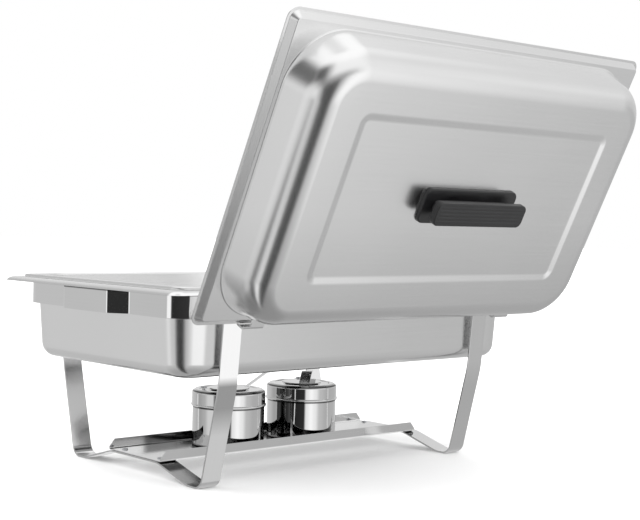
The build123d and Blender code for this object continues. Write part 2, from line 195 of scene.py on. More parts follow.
def offset_poly(points, distance, closed):
    """Polyline moved to its left by distance."""
    count = len(points)
    out = []
    for i, point in enumerate(points):
        if not closed and i in (0, count - 1):
            u = unit(point, points[1]) if i == 0 else unit(points[-2], point)
            out.append((point[0] - u[1] * distance, point[1] + u[0] * distance))
            continue
        u, v = unit(points[i - 1], point), unit(point, points[(i + 1) % count])
        nx, ny = -u[1] - v[1], u[0] + v[0]
        k = distance / (1 + u[1] * v[1] + u[0] * v[0])
        out.append((point[0] + nx * k, point[1] + ny * k))
    return out


def bent_sheet(points, radii, thickness, closed, steps):
    """The two faces of a bent sheet, matched point for point. points is the right-hand face."""
    count = len(points)
    other = offset_poly(points, thickness, closed)
    right, left = [], []
    for i, p in enumerate(points):
        if (not closed and i in (0, count - 1)) or radii[i] <= 0:
            right.append(p)
            left.append(other[i])
            continue
        a, b = points[i - 1], points[(i + 1) % count]
        turn = (p[0] - a[0]) * (b[1] - p[1]) - (p[1] - a[1]) * (b[0] - p[0])
        side = 1 if turn > 0 else -1
        centre, radius, start, sweep = corner_arc(a, p, b, radii[i], fit=False)
        right += arc_points(centre, radius, start, sweep, steps)
        left += arc_points(centre, radius - thickness * side, start, sweep, steps)
    return right, left


# ------------------------------------------------------------------ meshes
def build(name, verts, faces, angle=38.0, bevel=0.0, segments=2):
    """Object from points in mm; edges sharper than angle degrees stay sharp."""
    mesh = bpy.data.meshes.new(name)
    mesh.from_pydata([(x * MM, y * MM, z * MM) for x, y, z in verts], [], faces)
    mesh.validate()
    mesh.update()
    bm = bmesh.new()
    bm.from_mesh(mesh)
    bmesh.ops.remove_doubles(bm, verts=bm.verts, dist=1e-7)
    bmesh.ops.recalc_face_normals(bm, faces=bm.faces)
    bm.to_mesh(mesh)
    bm.free()
    mesh.shade_smooth()
    mesh.set_sharp_from_angle(angle=math.radians(angle))
    ob = bpy.data.objects.new(name, mesh)
    scene.collection.objects.link(ob)
    if bevel > 0:
        add_bevel(ob, "bevel", bevel, segments, angle=40)
    ob.modifiers.new("normals", "WEIGHTED_NORMAL").keep_sharp = True
    return ob


def add_bevel(ob, name, width, segments, angle):
    mod = ob.modifiers.new(name, "BEVEL")
    mod.width = width * MM
    mod.segments = segments
    mod.limit_method = "ANGLE"
    mod.angle_limit = math.radians(angle)
    return mod


def skin(rings, first_tip):
    """Points and faces through rings of equal count, the first ring closed to a tip."""
    count = len(rings[0])
    verts = [point for points in rings for point in points]
    faces = []
    for i in range(len(rings) - 1):
        for k in range(count):
            a, b = i * count + k, i * count + (k + 1) % count
            faces.append((a, b, b + count, a + count))
    tip = len(verts)
    verts.append(first_tip)
    faces += [(tip, (k + 1) % count, k) for k in range(count)]
    return verts, faces


def closing_rings(points):
    """Smaller copies of a ring towards its centre, and the centre itself."""
    cx = sum(p[0] for p in points) / len(points)
    cy = sum(p[1] for p in points) / len(points)
    inner = [[(cx + (x - cx) * k, cy + (y - cy) * k, z) for x, y, z in points]
             for k in (0.8, 0.55, 0.3)]
    return inner, (cx, cy, points[0][2])


def loft(name, rings, **finish):
    """Skin through rings of equal count, closed at both ends."""
    first, first_tip = closing_rings(rings[0])
    last, last_tip = closing_rings(rings[-1])
    rings = [*reversed(first), *rings, *last]
    verts, faces = skin(rings, first_tip)
    count = len(rings[0])
    start = (len(rings) - 1) * count
    tip = len(verts)
    verts.append(last_tip)
    faces += [(tip, start + k, start + (k + 1) % count) for k in range(count)]
    return build(name, verts, faces, **finish)


def ribbon(name, sheet, place, closed=False, **finish):
    """Solid strip from a bent sheet's faces. place(point, s) sets a point, s 0 or 1 across."""
    n = len(sheet[0])
    verts = [place(point, s) for face in sheet for s in (0.0, 1.0) for point in face]
    faces = []
    for i in range(n if closed else n - 1):
        k = (i + 1) % n
        faces += [(i, k, n + k, n + i), (2 * n + i, 3 * n + i, 3 * n + k, 2 * n + k),
                  (i, 2 * n + i, 2 * n + k, k), (n + i, n + k, 3 * n + k, 3 * n + i)]
    if not closed:
        faces += [(i, n + i, 3 * n + i, 2 * n + i) for i in (0, n - 1)]
    return build(name, verts, faces, **finish)


def lathe(name, profile, centre_x, **finish):
    """Revolved closed profile of (radius, z). Points on the axis become one vertex."""
    n = LATHE_STEPS
    verts, index = [], []
    for radius, z in profile:
        if radius < 1e-6:
            index.append([len(verts)] * n)
            verts.append((centre_x, 0, z))
            continue
        index.append(list(range(len(verts), len(verts) + n)))
        for k in range(n):
            angle = 2 * math.pi * k / n
            verts.append((centre_x + radius * math.cos(angle), radius * math.sin(angle), z))
    faces = []
    for i, a in enumerate(index):
        b = index[(i + 1) % len(index)]
        for k in range(n):
            q = (k + 1) % n
            face = tuple(dict.fromkeys((a[k], a[q], b[q], b[k])))
            if len(face) > 2:
                faces.append(face)
    return build(name, verts, faces, **finish)


def attach(ob, mat, body, replaced):
    ob.data.materials.append(mat)
    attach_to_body(ob, body)
    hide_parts(replaced)


# ------------------------------------------------------------------ shader graphs
class Graph:
    """Short calls for the shader nodes used here. A value is a socket or a constant."""

    def __init__(self, owner, output):
        owner.use_nodes = True
        self.tree = owner.node_tree
        self.tree.nodes.clear()
        self.output = self.node(output).inputs[0]

    def node(self, kind, inputs=None, **settings):
        node = self.tree.nodes.new("ShaderNode" + kind)
        for name, value in settings.items():
            setattr(node, name, value)
        for key, value in (inputs or {}).items():
            if isinstance(value, bpy.types.NodeSocket):
                self.tree.links.new(value, node.inputs[key])
            else:
                node.inputs[key].default_value = value
        return node

    def finish(self, kind, inputs):
        """Last node, joined to the output."""
        self.tree.links.new(self.node(kind, inputs).outputs[0], self.output)

    def math(self, operation, *values):
        return self.node("Math", dict(enumerate(values)), operation=operation).outputs[0]

    def add(self, a, b):
        return self.math("ADD", a, b)

    def mul(self, a, b):
        return self.math("MULTIPLY", a, b)

    def rest(self, a):
        """1 - a"""
        return self.math("SUBTRACT", 1.0, a)

    def most(self, a, b):
        return self.math("MAXIMUM", a, b)

    def least(self, a, b):
        return self.math("MINIMUM", a, b)

    def above(self, a, b):
        return self.math("GREATER_THAN", a, b)

    def below(self, a, b):
        return self.math("LESS_THAN", a, b)

    def blend(self, k, a, b):
        """a where k is 0, b where k is 1."""
        return self.add(self.mul(a, self.rest(k)), self.mul(b, k))

    def remap(self, value, to, source=(0.3, 0.7)):
        """Clamped change of range; the default source is where noise mostly lies."""
        return self.node("MapRange", {"From Min": source[0], "From Max": source[1],
                                      "To Min": to[0], "To Max": to[1], "Value": value}).outputs[0]

    def rise(self, value, start, end):
        return self.remap(value, to=(0.0, 1.0), source=(start, end))

    def fall(self, value, start, end):
        return self.remap(value, to=(1.0, 0.0), source=(start, end))

    def coords(self, scale):
        place = self.node("TexCoord").outputs["Object"]
        return self.node("Mapping", {"Scale": scale, "Vector": place}).outputs[0]

    def noise(self, scale, detail, rough):
        return self.node("TexNoise", {"Scale": 1.0, "Detail": detail, "Roughness": rough,
                                      "Vector": self.coords(scale)}).outputs[0]

    def xyz(self, vector):
        return tuple(self.node("SeparateXYZ", {0: vector}).outputs)

    def grey(self, level):
        return self.node("CombineColor", {0: level, 1: level, 2: level}).outputs[0]

    def mix(self, factor, a, b, **settings):
        node = self.node("Mix", **{"data_type": "RGBA", **settings,
                                   "inputs": None})
        for key, value in (("Factor", factor), ("A", a), ("B", b)):
            if isinstance(value, bpy.types.NodeSocket):
                self.tree.links.new(value, node.inputs[key])
            else:
                node.inputs[key].default_value = value
        return node.outputs["Result"]

    def bump(self, height, strength, distance):
        return self.node("Bump", {"Strength": strength, "Distance": distance,
                                  "Height": height}).outputs[0]


def new_material(name):
    mat = bpy.data.materials.new(name)
    return mat, Graph(mat, "OutputMaterial")


# ------------------------------------------------------------------ materials
def steel(name, color, rough, spread, grain, bump, blotch, tone, painted_shade_line=None, seen=1.0,
          under=1000.0):
    """Metal sheet: brushing lines in roughness and height, and a faint uneven tone.

    rough +- spread follows the lines, blotch and tone the clouds; grain is the lines' scale.
    painted_shade_line draws painted shade, a dark line by height: it fades in over the first two
    heights, out over the others.
    seen is painted shade in reflections: it darkens the sheet where another piece mirrors it
    from above, from outside the tray's edges, or at any place lower than under.
    """
    mat, g = new_material(name)
    lines = g.noise(grain, detail=4.0, rough=0.6)
    fine = g.noise(tuple(v * 3.1 for v in grain), detail=2.0, rough=0.5)
    cloud = g.noise((9.0, 9.0, 9.0), detail=3.0, rough=0.5)
    roughness = g.add(g.remap(lines, to=(rough - spread, rough + spread)),
                      g.remap(cloud, to=(-blotch, blotch)))
    shade = g.add(g.remap(cloud, to=(1 - tone, 1 + tone * 0.5)),
                  g.remap(lines, to=(-0.012, 0.012)))
    # painted shade: a dark line by height where shade lies in a gap or under an overhang
    if painted_shade_line:
        heights = [z * MM for z in painted_shade_line]
        z = g.xyz(g.coords((1.0, 1.0, 1.0)))[2]
        dark = g.mul(g.remap(z, to=(0.0, 0.85), source=heights[:2]), g.fall(z, *heights[2:]))
        shade = g.mul(shade, g.rest(dark))
    # painted shade in reflections: the sheet darkens only for mirror rays
    if seen < 1.0:
        tray_half = 52.1 * MM
        geometry = g.node("NewGeometry").outputs
        toward, place = g.xyz(geometry["Incoming"]), g.xyz(geometry["Position"])
        hidden = g.most(g.above(toward[2], 0.0), g.below(place[2], under * MM))
        hidden = g.most(hidden, g.above(g.math("ABSOLUTE", place[1]), tray_half))
        mirrored = g.node("LightPath").outputs["Is Glossy Ray"]
        dim = g.mul(g.mul(mirrored, hidden), 1.0 - seen)
        shade = g.mul(shade, g.rest(dim))
    height = g.add(lines, g.mul(fine, 0.5))
    g.finish("BsdfPrincipled", {
        "Base Color": g.mix(1.0, (*color, 1), g.grey(shade), blend_type="MULTIPLY"),
        "Metallic": 1.0,
        "Roughness": roughness,
        "Normal": g.bump(height, strength=bump, distance=0.0002)})
    return mat


def black_plastic():
    """Moulded phenolic: fine pebble, faint flow marks in the sheen, lighter high spots."""
    mat, g = new_material("black_handle")
    color, rough = (0.0045, 0.0045, 0.005), 0.36
    worn = tuple(v * 1.9 + 0.004 for v in color)
    pebble = g.noise((1600.0,) * 3, detail=3.0, rough=0.6)
    cloud = g.noise((35.0, 90.0, 90.0), detail=3.0, rough=0.5)
    wear = g.remap(g.add(cloud, g.mul(pebble, 0.3)), to=(0, 1), source=(0.45, 0.95))
    g.finish("BsdfPrincipled", {
        "Base Color": g.mix(wear, (*color, 1), (*worn, 1)),
        "Roughness": g.remap(cloud, to=(rough - 0.06, rough + 0.08)),
        "Normal": g.bump(pebble, strength=0.12, distance=0.0001),
        "IOR": 1.5})
    return mat


def fuel_gel():
    """Pink gel with soft light and dark clouds."""
    mat, g = new_material("fuel_gel")
    cloud = g.noise((60.0, 60.0, 60.0), detail=4.0, rough=0.6)
    g.finish("BsdfPrincipled", {
        "Base Color": g.mix(cloud, (0.62, 0.33, 0.42, 1), (0.78, 0.55, 0.62, 1)),
        "Roughness": g.remap(cloud, to=(0.12, 0.3)),
        "Subsurface Weight": 0.3,
        "Subsurface Radius": (0.01, 0.005, 0.005)})
    return mat


BRUSHED = dict(spread=0.02, grain=(9.0, 1300.0, 1300.0), blotch=0.01, tone=0.01)
MIRROR = dict(color=(0.80, 0.80, 0.80), rough=0.04, spread=0.01, grain=(9.0, 900.0, 900.0),
              bump=0.01, blotch=0.01, tone=0.02)

SATIN = steel("satin_steel", color=(0.78, 0.78, 0.78), rough=0.235, bump=0.05, **BRUSHED)
SATIN_PAN = steel("satin_steel_pan", color=(0.80, 0.80, 0.80), rough=0.19, bump=0.04, **BRUSHED)
POLISH = steel("polished_steel", **MIRROR)
# painted shade on the band under the water pan's rolled edge: the line runs on past the band's top
# edge, so its fade-out lies far above it
BAND = steel("band_steel", color=(0.78, 0.78, 0.78), rough=0.05, spread=0.01,
             grain=(9.0, 9.0, 1500.0), bump=0.02, blotch=0.01, tone=0.02,
             painted_shade_line=(BAND_Z1 - 2.2, BAND_Z1 - 0.9, 400, 401))
STRIP = steel("strip_steel", color=(0.76, 0.76, 0.76), rough=0.14, spread=0.02,
              grain=(1400.0, 9.0, 9.0), bump=0.04, blotch=0.01, tone=0.02)
# painted shade in the tray's reflections: darker where another piece mirrors it
TRAY = steel("tray_steel", color=(0.76, 0.76, 0.76), rough=0.12, spread=0.02,
             grain=(9.0, 1200.0, 1200.0), bump=0.03, blotch=0.02, tone=0.03,
             seen=0.14, under=19.2)
ZINC = steel("zinc_hardware", color=(0.66, 0.67, 0.69), rough=0.32, spread=0.06,
             grain=(400.0, 400.0, 400.0), bump=0.05, blotch=0.08, tone=0.08)
TIN = steel("tin_plate", color=(0.74, 0.72, 0.68), rough=0.24, spread=0.05,
            grain=(30.0, 30.0, 500.0), bump=0.02, blotch=0.05, tone=0.06)
BLACK = black_plastic()
# painted shade in the cup's reflections, set by seen
# painted shade line on the cup, in the gap under the cap's bead
CUP = steel("polished_cup", **MIRROR, seen=0.35,
            painted_shade_line=(BEAD_Z - 3.4, BEAD_Z - 2.4, BEAD_Z - 1.4, BEAD_Z - 0.9))
# painted shade in the cap's reflections, set by seen
# painted shade line on the cap, round the shoulder under its crown
CAP = steel("polished_cap", **MIRROR, seen=0.50,
            painted_shade_line=(CAP_TOP - 3.2, CAP_TOP - 2.4, CAP_TOP - 1.6, CAP_TOP - 0.9))
GEL = fuel_gel()


# ------------------------------------------------------------------ pans
def tub_walls(body, depth, taper, bottom_r, top, lead):
    """Rings of a pressed tub: inner skin from its centre outwards, outer skin back inwards.

    lead is how far the flange runs out from the mouth before the rim takes over.
    """
    slope = math.tan(math.radians(taper))

    def profile(deep, radius, drop, edge):
        points = [(lead, top - drop), (-slope * drop, top - drop),
                  (-slope * deep, top - deep), (-slope * deep - radius - 6, top - deep)]
        return soft(points, [0, edge, radius, 0], 9)

    inner = profile(depth - PAN_T, bottom_r - PAN_T, drop=0.0, edge=3.0)
    outer = profile(depth, bottom_r, drop=PAN_T, edge=2.2)
    return rings_of(shrink(body, PAN_T), inner[::-1]), rings_of(body, outer)


def roll_arc(radius, steps=8):
    """One face of the rolled edge, from its outer end up to the top."""
    low = math.asin((ROLL_R - ROLL_DROP) / radius)
    grow = -ROLL_R * math.cos(math.asin((ROLL_R - ROLL_DROP) / ROLL_R))
    return arc_points((grow, WATER_TOP - ROLL_R), radius, low, math.pi / 2 - low, steps)


def water_pan():
    inner, outer = tub_walls(WATER_BODY, WATER_DEPTH, WATER_TAPER, WATER_BOTTOM_R,
                             WATER_TOP, lead=6.0)
    rim = roll_arc(ROLL_R)[::-1] + roll_arc(ROLL_R - PAN_T)
    ob = loft("water_pan_shell", inner + rings_of(WATER_RIM, rim) + outer)
    attach(ob, SATIN_PAN, "water_pan_body", "water_pan")


def food_pan():
    inner, outer = tub_walls(FOOD_BODY, FOOD_DEPTH, FOOD_TAPER, FOOD_BOTTOM_R,
                             FOOD_TOP, lead=4.0)
    low = WATER_TOP + FOOD_GAP
    rim = soft([(-8.0, FOOD_TOP), (0.0, FOOD_TOP), (0.0, low),
                (-PAN_T, low), (-PAN_T, FOOD_TOP - PAN_T), (-8.0, FOOD_TOP - PAN_T)],
               [0, 2.0, 0.3, 0.3, 1.0, 0], 5)
    ob = loft("food_pan_shell", inner + rings_of(FOOD_RIM, rim) + outer)
    attach(ob, SATIN_PAN, "food_pan_body", "food_pan")


# ------------------------------------------------------------------ stand
def frame_band():
    """Closed band around the water pan, bulging out at each end."""
    hx, hy = BAND_L / 2, BAND_W / 2
    half = [(hx, -hy), (hx, -GRIP_HALF_IN), (hx + GRIP_OUT, -GRIP_HALF_OUT),
            (hx + GRIP_OUT, GRIP_HALF_OUT), (hx, GRIP_HALF_IN), (hx, hy)]
    radii = [BAND_R, GRIP_R, GRIP_R, GRIP_R, GRIP_R, BAND_R]
    sheet = bent_sheet(half + [(-x, -y) for x, y in half], radii * 2, BAND_T,
                       closed=True, steps=12)
    ob = ribbon("frame_band_strip", sheet,
                lambda p, s: (p[0], p[1], BAND_Z0 + (BAND_Z1 - BAND_Z0) * s),
                closed=True, bevel=0.35)
    attach(ob, BAND, "stand", "frame_band")


def legs():
    """Two strips, each bent into feet on both sides and passing under the shelf."""
    outer_y = BAND_W / 2 + LEG_T
    # (y, z) from the band's top down to the foot and in under the shelf
    half = [(outer_y, BAND_Z1), (outer_y, 181.0), (157.5, 112.0),
            (128.8, 0.0), (106.0, 0.0), (47.0, SHELF_Z0 - LEG_T)]
    radii = [0, 60.0, 120.0, 15.0, 40.0, 40.0]
    sheet = bent_sheet([(-y, z) for y, z in half] + half[::-1], radii + radii[::-1], LEG_T,
                       closed=False, steps=14)
    for side, (x0, x1) in LEG_X.items():
        ob = ribbon(f"{side}_leg_bent_strip", sheet,
                    lambda p, s: (x0 + (x1 - x0) * s, p[0], p[1]), bevel=0.45, segments=3)
        attach(ob, STRIP, "stand", f"{side}_leg_strip")


def burner_shelf():
    """Tray with a folded flange along each long side, its ends cut at a slant."""
    half_y = (SHELF_Y1 - SHELF_Y0) / 2
    cut_z = SHELF_Z0 + SHELF_CUT_H
    outer, inner = bent_sheet([(-half_y, SHELF_Z1), (-half_y, SHELF_Z0),
                               (half_y, SHELF_Z0), (half_y, SHELF_Z1)],
                              [0, SHELF_FOLD_R, SHELF_FOLD_R, 0], SHELF_T, closed=False, steps=6)
    # an extra point where the end cut of each flange starts
    sheet = ([], [])
    for i in range(len(outer)):
        z, before = outer[i][1], outer[i - 1][1]
        crossing = i > 0 and (z - SHELF_Z0 - SHELF_CUT_H) * (before - SHELF_Z0 - SHELF_CUT_H) < 0
        for face, result in zip((outer, inner), sheet):
            if crossing:
                k = (cut_z - before) / (z - before)
                result.append((face[i - 1][0] + (face[i][0] - face[i - 1][0]) * k, cut_z))
            result.append(face[i])

    def place(p, s):
        rise = (p[1] - SHELF_Z0 - SHELF_CUT_H) / (SHELF_Z1 - SHELF_Z0 - SHELF_CUT_H)
        cut = max(0.0, rise) * SHELF_CUT
        return (SHELF_X0 + cut + (SHELF_X1 - SHELF_X0 - 2 * cut) * s, p[0], p[1])

    ob = ribbon("burner_tray", sheet, place, bevel=0.25)
    attach(ob, TRAY, "stand", "burner_shelf")


# ------------------------------------------------------------------ lid
swing = next(joint for joint in frame["joints"] if joint["name"] == "lid_swing")
HINGE = Vector((0, swing["pos_m"][1], swing["pos_m"][2]))
OPEN = (Matrix.Translation(HINGE) @ Matrix.Rotation(math.radians(OPEN_DEG), 4, "X")
        @ Matrix.Translation(-HINGE) @ Matrix.Translation((0, LID_Y * MM, LID_Z * MM)))


def panel_profile(drop):
    """The pressed step: soft, not a sharp ledge."""
    top = DOME_H - drop
    low = top - PANEL_DROP
    points = [(PANEL_STEP + 0.5, top), (PANEL_STEP * 0.5, top),
              (-PANEL_STEP * 0.5, low), (-PANEL_STEP - 3, low)]
    return soft(points, [0, PANEL_R, PANEL_R, 0], 7)


def dome_profile(wall, start, foot_r, reach, steps):
    """Dome wall from the flange up and in over the top, lying wall below the outer skin."""
    slope = math.tan(math.radians(DOME_TAPER))
    low, high = FLANGE_H - wall, DOME_H - wall
    low_in, high_in = -(low - DOME_BASE) * slope, -(high - DOME_BASE) * slope
    return soft([(start, low), (low_in, low), (high_in, high), (high_in - reach, high)],
                [0, foot_r, DOME_TOP_R - wall, 0], steps)


def lid_shell():
    """Dome, flange, sloping skirt and lip, skinned over the outside and back inside."""
    lean = math.tan(math.radians(SKIRT_TAPER))
    skirt = LIP_W + LID_T / math.cos(math.radians(SKIRT_TAPER))
    flange_low = FLANGE_H - LID_T
    rim_out = soft([(-9.4, FLANGE_H), (-(LIP_W + FLANGE_H * lean), FLANGE_H),
                    (-(LIP_W + LIP_T * lean), LIP_T), (0.0, LIP_T), (0.0, 0.0), (-2.0, 0.0)],
                   [0, 2.2, 0.7, 0.3, 0.3, 0], 5)
    rim_in = soft([(-2.0, 0.0), (-skirt, 0.0), (-(skirt + flange_low * lean), flange_low),
                   (-9.9, flange_low)], [0, 0.4, 1.3, 0], 4)
    dome_out = dome_profile(0.0, start=2.6, foot_r=2.5, reach=48.5, steps=14)
    dome_in = dome_profile(LID_T, start=3.2, foot_r=3.2, reach=48.0, steps=12)
    stations = [(PANEL, panel_profile(0.0)[::-1]), (DOME, dome_out[::-1]), (LID, rim_out),
                (LID, rim_in), (shrink(DOME, LID_T), dome_in), (PANEL, panel_profile(LID_T))]
    rings = [r for size, profile in stations for r in rings_of(size, profile, LID_STEPS)]
    ob = loft("lid_dome", rings, angle=50)
    ob.data.transform(OPEN)
    attach(ob, SATIN, "lid", "lid_shell")


def ribbed_grid(top, columns, rows):
    """Top of the grip: lengthwise ribs that fade out at its border."""
    rib_depth, rib_pitch, rib_sharpness, lift, fade_rate = 0.55, 4.1, 1.5, 0.25, 9
    length, width, radius = (HANDLE_GRIP[0] - 2 * GRIP_EDGE, HANDLE_GRIP[1] - 2 * GRIP_EDGE,
                             HANDLE_GRIP[2] - GRIP_EDGE)
    verts = []
    for row in range(rows + 1):
        v = -1 + 2 * row / rows
        y = v * width / 2
        inset = 0.0
        if abs(y) > width / 2 - radius:
            over = abs(y) - (width / 2 - radius)
            inset = radius - math.sqrt(max(radius * radius - over * over, 0))
        for column in range(columns + 1):
            u = -1 + 2 * column / columns
            u = math.copysign(1 - (1 - abs(u)) ** 1.6, u)      # columns closer at the ends
            fade = min(1.0, (1 - abs(u)) * fade_rate) * min(1.0, (1 - abs(v)) * fade_rate)
            wave = 0.5 + 0.5 * math.cos(2 * math.pi * y / rib_pitch + math.pi)
            rib = -rib_depth * wave ** rib_sharpness
            verts.append((HANDLE_X + u * (length / 2 - inset), HANDLE_Y + y,
                          top + fade * (rib + lift)))
    return verts


def stitch(verts, inner, outer):
    """Triangles between two loops of vertices, walking both by bearing from the centre."""
    length, width = HANDLE_GRIP[0] - 2 * GRIP_EDGE, HANDLE_GRIP[1] - 2 * GRIP_EDGE

    def bearing_of(v):
        return math.atan2((verts[v][1] - HANDLE_Y) / width, (verts[v][0] - HANDLE_X) / length)

    def next_bearing(loop, k):
        lap = 2 * math.pi if k + 1 >= len(loop) else 0
        return bearing_of(loop[(k + 1) % len(loop)]) + lap

    inner, outer = sorted(inner, key=bearing_of), sorted(outer, key=bearing_of)
    n_in, n_out = len(inner), len(outer)
    faces = []
    i = j = 0
    while i < n_in or j < n_out:
        a, b = inner[i % n_in], outer[j % n_out]
        if j >= n_out or (i < n_in and next_bearing(inner, i) <= next_bearing(outer, j)):
            faces.append((a, b, inner[(i + 1) % n_in]))
            i += 1
        else:
            faces.append((a, b, outer[(j + 1) % n_out]))
            j += 1
    return faces


def lid_handle():
    """One moulding: base plate, waisted web and grip, skinned as one closed form."""
    foot = DOME_H - PANEL_DROP
    top = foot + HANDLE_H
    base = soft([(-1.5, foot), (0, foot), (0, foot + 4.0), (-14.0, foot + 4.6)],
                [0, 0.5, 1.6, 0], 4)
    web = soft([(0.6, foot + 4.9), (-1.0, foot + 7.5), (-1.6, top - 9.5), (-0.6, top - 8.2)],
               [0, 2.5, 3.0, 0], 4)
    grip = soft([(-4.0, top - 8.0), (0, top - 8.0), (0, top), (-GRIP_EDGE, top)],
                [0, 2.0, 2.4, 0], 5)
    rings = []
    for size, profile in ((HANDLE_BASE, base), (HANDLE_WEB, web), (HANDLE_GRIP, grip)):
        rings += rings_of(size, profile, steps=8, centre=(HANDLE_X, HANDLE_Y))
    verts, faces = skin(rings, (HANDLE_X, HANDLE_Y, foot))

    columns, rows = 30, 44
    start, stride = len(verts), columns + 1
    verts += ribbed_grid(top, columns, rows)
    for row in range(rows):
        for column in range(columns):
            a = start + row * stride + column
            faces.append((a, a + 1, a + stride + 1, a + stride))
    border = [start + row * stride + column for row in range(rows + 1)
              for column in range(stride) if row in (0, rows) or column in (0, columns)]
    count = len(rings[0])
    last_ring = [(len(rings) - 1) * count + k for k in range(count)]
    faces += stitch(verts, border, last_ring)

    ob = build("lid_handle_moulding", verts, faces, angle=60)
    ob.data.transform(OPEN)
    attach(ob, BLACK, "lid", "lid_handle")


# ------------------------------------------------------------------ burners
def burner(side, x):
    """Spun cup, and a cap with a crown ring, a dished middle and a rolled bead at its foot."""
    cup_in, cup_floor = CUP_R - CUP_WALL, CUP_Z0 + CUP_FLOOR
    cup = soft([(0, CUP_Z0), (CUP_R, CUP_Z0), (CUP_R, CUP_Z1), (cup_in, CUP_Z1),
                (cup_in, cup_floor), (0, cup_floor)], [0, 3.0, 0.3, 0.3, 2.2, 0], 6)
    ob = lathe(f"{side}_burner_cup_spun", cup, x)
    attach(ob, CUP, f"{side}_burner", f"{side}_burner_cup")

    dish = CAP_TOP - CAP_DISH
    outside = soft([(HOLE_R, CAP_TOP - 1.8), (HOLE_R, dish), (33.5, dish), (35.4, CAP_TOP),
                    (41.0, CAP_TOP), (CAP_R, CAP_TOP - 3.2), (CAP_R, BEAD_Z + 1.9)],
                   [0, 0.3, 1.6, 1.6, 3.0, 2.0, 0], 5)
    bead = [(CAP_R - 0.3 + 1.4 * math.cos(angle), BEAD_Z + 1.7 * math.sin(angle))
            for angle in map(math.radians, range(60, -91, -15))]
    inside = soft([(CAP_R - 0.9, BEAD_Z - 1.6), (CAP_R - 0.8, CAP_TOP - 3.8),
                   (40.9, CAP_TOP - CAP_T), (35.6, CAP_TOP - CAP_T), (33.6, CAP_TOP - 1.8)],
                  [0, 1.5, 1.5, 1.0, 0], 4)
    ob = lathe(f"{side}_burner_cap_spun", outside + bead + inside, x, angle=60)
    attach(ob, CAP, f"{side}_burner", f"{side}_burner_lid")


# ------------------------------------------------------------------ CAD nodes shown as they are
def paint(ob, mat):
    if ob.material_slots:
        for slot in ob.material_slots:
            slot.link = "OBJECT"
            slot.material = mat
    else:
        ob.data.materials.append(mat)


def cad_parts():
    for mat, names in ((ZINC, ("shelf_rivets", "handle_screws", "handle_washers")),
                       (STRIP, ("left_lid_hook", "right_lid_hook")),
                       (TIN, ("left_fuel_tin", "right_fuel_tin")),
                       (GEL, ("left_fuel_gel", "right_fuel_gel")),
                       (ZINC, ("left_cover_rivet", "right_cover_rivet")),
                       (POLISH, ("left_burner_cover", "right_burner_cover"))):
        for name in names:
            paint(nodes[name], mat)
    for part, width in (("burner_cover", 0.3), ("lid_hook", 0.4)):
        for side in ("left", "right"):
            mod = add_bevel(nodes[f"{side}_{part}"], "edge", width, segments=2, angle=45)
            mod.harden_normals = True


water_pan()
food_pan()
frame_band()
legs()
burner_shelf()
lid_shell()
lid_handle()
for burner_side, burner_x in BURNER_X.items():
    burner(burner_side, burner_x)
cad_parts()

# ------------------------------------------------------------------ studio seen in the metal
# The camera sees a plain floor and white world. What the metal mirrors is drawn in their
# shaders: brightness by bearing, in degrees from +X, as (degrees, level) stops.
PEAK = 1.3          # brightest level a ramp can hold
LID_SIDE = (
    (-180, 0.90), (-157, 1.05), (-143, 0.60), (-133, 0.10), (-101, 0.07), (-86, 0.72),
    (-74, 1.22), (-58, 1.28), (-48, 1.14), (-38, 0.78), (-26, 0.56), (20, 0.54),
    (60, 0.66), (110, 0.45), (140, 0.70), (168, 0.95))
PAN_SIDE = (
    (-180, 0.36), (-169, 0.05), (-152, 0.04), (-134, 0.60), (-122, 0.80), (-108, 1.15),
    (-72, 1.15), (-54, 0.74), (-44, 0.56), (20, 0.55), (60, 0.85), (100, 0.66),
    (135, 0.72), (150, 0.90), (168, 0.66))
LOW_SIDE = (
    (-180, 0.80), (-170, 0.15), (-160, 0.02), (-122, 0.03), (-114, 0.95), (-98, 1.15),
    (-84, 1.0), (-66, 0.60), (-40, 0.50), (0, 0.52), (50, 0.80), (100, 0.60),
    (130, 0.42), (150, 0.50), (168, 0.75))
BAND_SIDE = (
    (-180, 0.03), (-126, 0.04), (-116, 0.50), (-100, 0.90), (-70, 0.80), (-50, 0.60),
    (60, 0.80), (100, 0.66), (134, 0.62), (141, 1.15), (156, 1.15), (163, 0.06), (170, 0.03))
HORIZON = (
    (-180, 0.95), (-166, 0.90), (-153, 0.50), (-143, 0.26), (-130, 0.34), (-90, 0.40),
    (-78, 0.55), (-62, 1.05), (-50, 1.22), (-40, 0.82), (-28, 0.68), (20, 0.70),
    (60, 0.75), (110, 0.66), (135, 0.60), (160, 0.95))
UPPER = (
    (-180, 0.30), (-164, 0.08), (-146, 0.10), (-134, 0.60), (-120, 1.12), (-60, 1.12),
    (-40, 0.98), (-22, 0.85), (0, 0.80), (30, 0.80), (70, 0.78), (95, 0.55),
    (125, 0.62), (148, 0.50), (162, 0.12), (172, 0.14))


def bearing(g, x, y):
    return g.mul(g.math("ARCTAN2", y, x), 180 / math.pi)


def around(g, azimuth, stops):
    """Brightness by bearing."""
    place = g.math("DIVIDE", g.add(azimuth, 180.0), 360.0)
    node = g.node("ValToRGB", {0: place})
    color_ramp = node.color_ramp
    color_ramp.interpolation = "EASE"
    while len(color_ramp.elements) < len(stops):
        color_ramp.elements.new(0.5)
    for element, (degrees, level) in zip(color_ramp.elements, stops):
        element.position = (degrees + 180) / 360
        grey = level / PEAK
        element.color = (grey, grey, grey, 1)
    return g.mul(node.outputs[0], PEAK)


def away(g, azimuth, centre):
    """Degrees between a bearing and centre, without a break where the bearing wraps."""
    turn = g.math("SUBTRACT", azimuth, centre)
    return g.math("ABSOLUTE", g.math("WRAP", turn, 180.0, -180.0))


